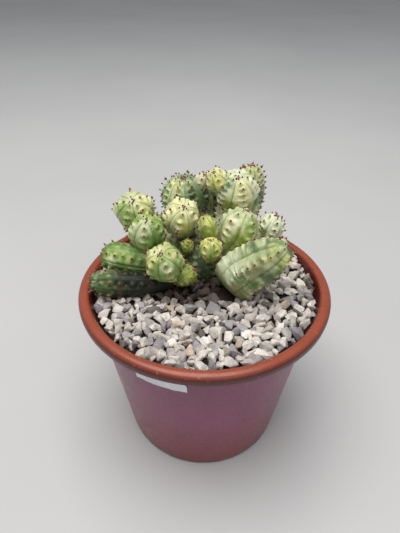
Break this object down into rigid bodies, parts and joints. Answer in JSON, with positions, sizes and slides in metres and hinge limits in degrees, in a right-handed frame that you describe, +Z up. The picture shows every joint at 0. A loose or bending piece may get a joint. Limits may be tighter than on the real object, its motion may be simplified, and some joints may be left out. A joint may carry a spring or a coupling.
{
  "type": "potted succulent",
  "caption": "Clump of ribbed, tubercled globe spurge stems, variegated green and cream with small red-tipped spines, in crushed stone in a round brown-red nursery pot.",
  "frame": {"origin": "centre of the pot's foot, on the surface that it stands on", "axes": "+Z up, -Y towards the picture's viewer, the side with the sticker, and +X to the viewer's right"},
  "size_m": [0.105, 0.105, 0.1181],
  "materials": {
    "pot": "satin, finely scratched",
    "sticker": "matt, bare",
    "soil": "crumbly potting mix",
    "gravel": "dusty crushed stone",
    "old_stem": "corky green-brown skin",
    "green": "waxy leafless skin",
    "cream": "waxy variegated skin",
    "dark_green": "waxy blue-green skin"
  },
  "bodies": {
    "root": {"pot": "pot", "sticker": "sticker", "soil": "soil", "gravel": "gravel", "old_stem": "old_stem", "stem_front": "green", "stem_right": "green", "stem_left": "green", "stem_back_right": "green", "stem_left_lying": "green", "stem_back_far": "green", "stem_behind_left": "green", "stem_behind_right": "green", "offset_upper": "green", "offset_small": "green", "stem_right_lying": "cream", "stem_centre": "cream", "stem_upper_left": "cream", "stem_far_right": "cream", "offset_middle": "cream", "offset_front": "cream", "offset_top": "cream", "offset_back": "cream", "stem_back_left": "dark_green", "stem_left_low": "dark_green", "stem_behind_middle": "dark_green"}
  },
  "joints": []
}
